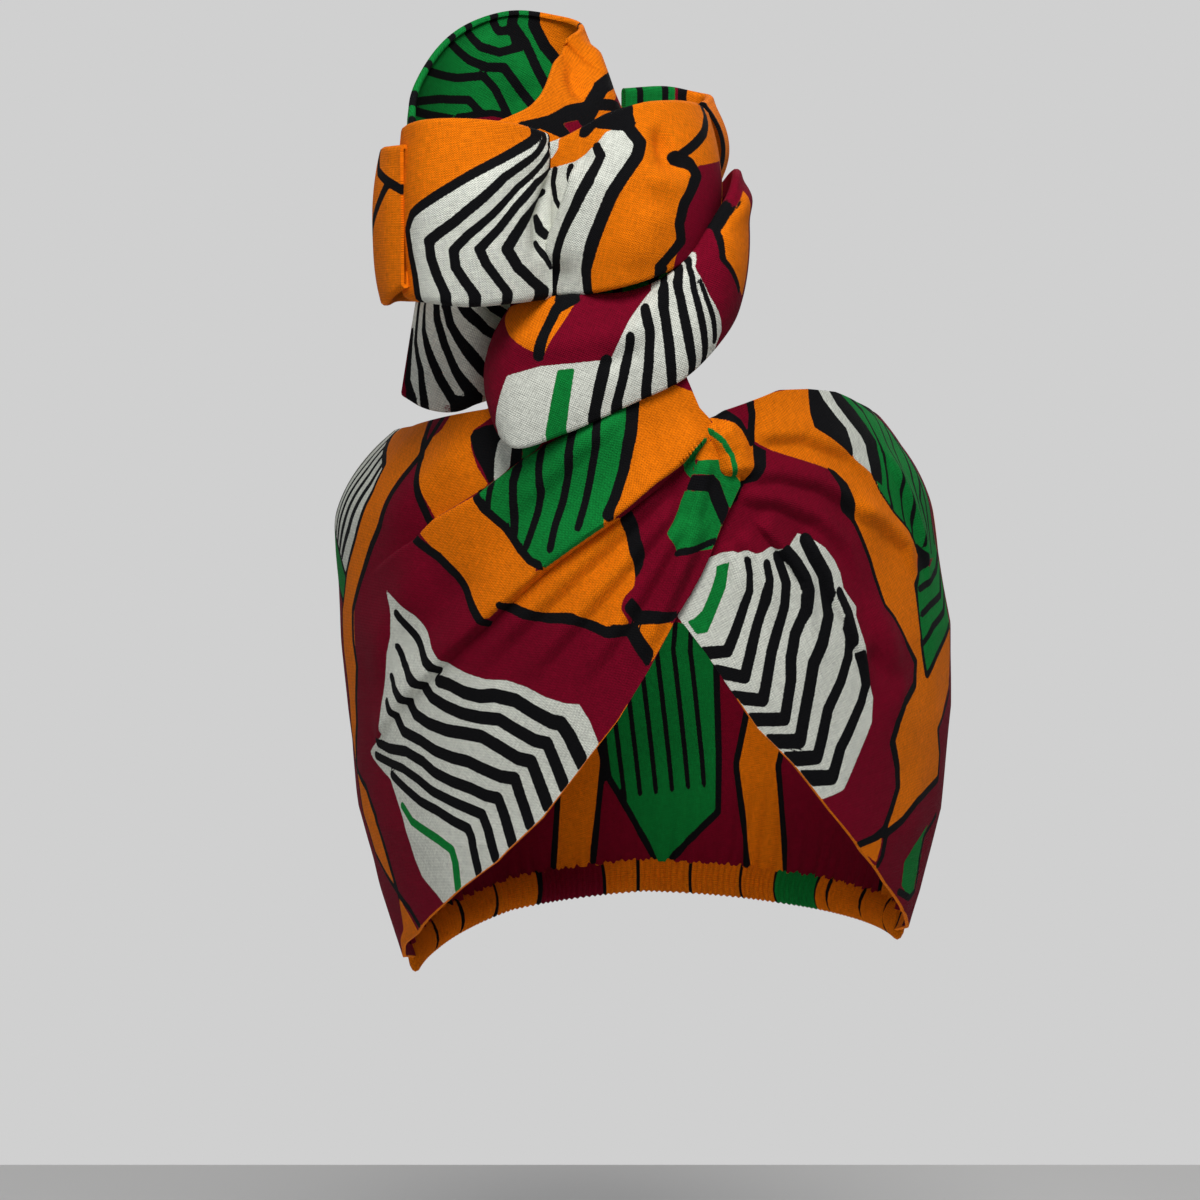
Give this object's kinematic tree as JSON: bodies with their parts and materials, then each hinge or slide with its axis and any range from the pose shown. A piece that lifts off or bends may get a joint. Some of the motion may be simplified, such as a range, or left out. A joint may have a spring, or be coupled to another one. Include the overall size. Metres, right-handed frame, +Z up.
{
  "type": "wired head wrap",
  "caption": "Wired head wrap of printed cotton: a wide band with two front wings crossed at a knot, twisted up into a coiled rosette, closed by a shirred elastic at the nape.",
  "frame": {"origin": "centre of the head inside the band, at the height of the forehead where the front wings part", "axes": "+Z up, -Y the way the face looks, +X the right side of the picture seen from the front"},
  "size_m": [0.176, 0.2272, 0.2754],
  "materials": {
    "print_left_wing": "matt printed cotton, crimson ground",
    "print_right_wing": "matt printed cotton, crimson ground",
    "print_back_panel": "matt printed cotton, orange bands",
    "elastic_casing": "shirred matt cotton over elastic",
    "print_twist_core": "matt printed cotton, green",
    "print_lower_wrap": "matt printed cotton, white and crimson",
    "print_tail_flap": "matt printed cotton, black stripes on white",
    "print_coil_front": "matt printed cotton, orange and striped",
    "print_coil_right": "matt printed cotton, orange and striped",
    "print_side_loop": "matt printed cotton, orange and crimson",
    "print_crown_loop": "matt printed cotton, green with black chevrons",
    "print_back_loop": "matt printed cotton, orange and green"
  },
  "bodies": {
    "root": {"left_wing": "print_left_wing", "right_wing": "print_right_wing", "back_panel": "print_back_panel", "nape_elastic": "elastic_casing", "twist_core": "print_twist_core", "lower_wrap": "print_lower_wrap", "tail_flap": "print_tail_flap", "coil_front": "print_coil_front", "coil_right": "print_coil_right", "side_loop": "print_side_loop", "crown_loop": "print_crown_loop", "back_loop": "print_back_loop"}
  },
  "joints": []
}
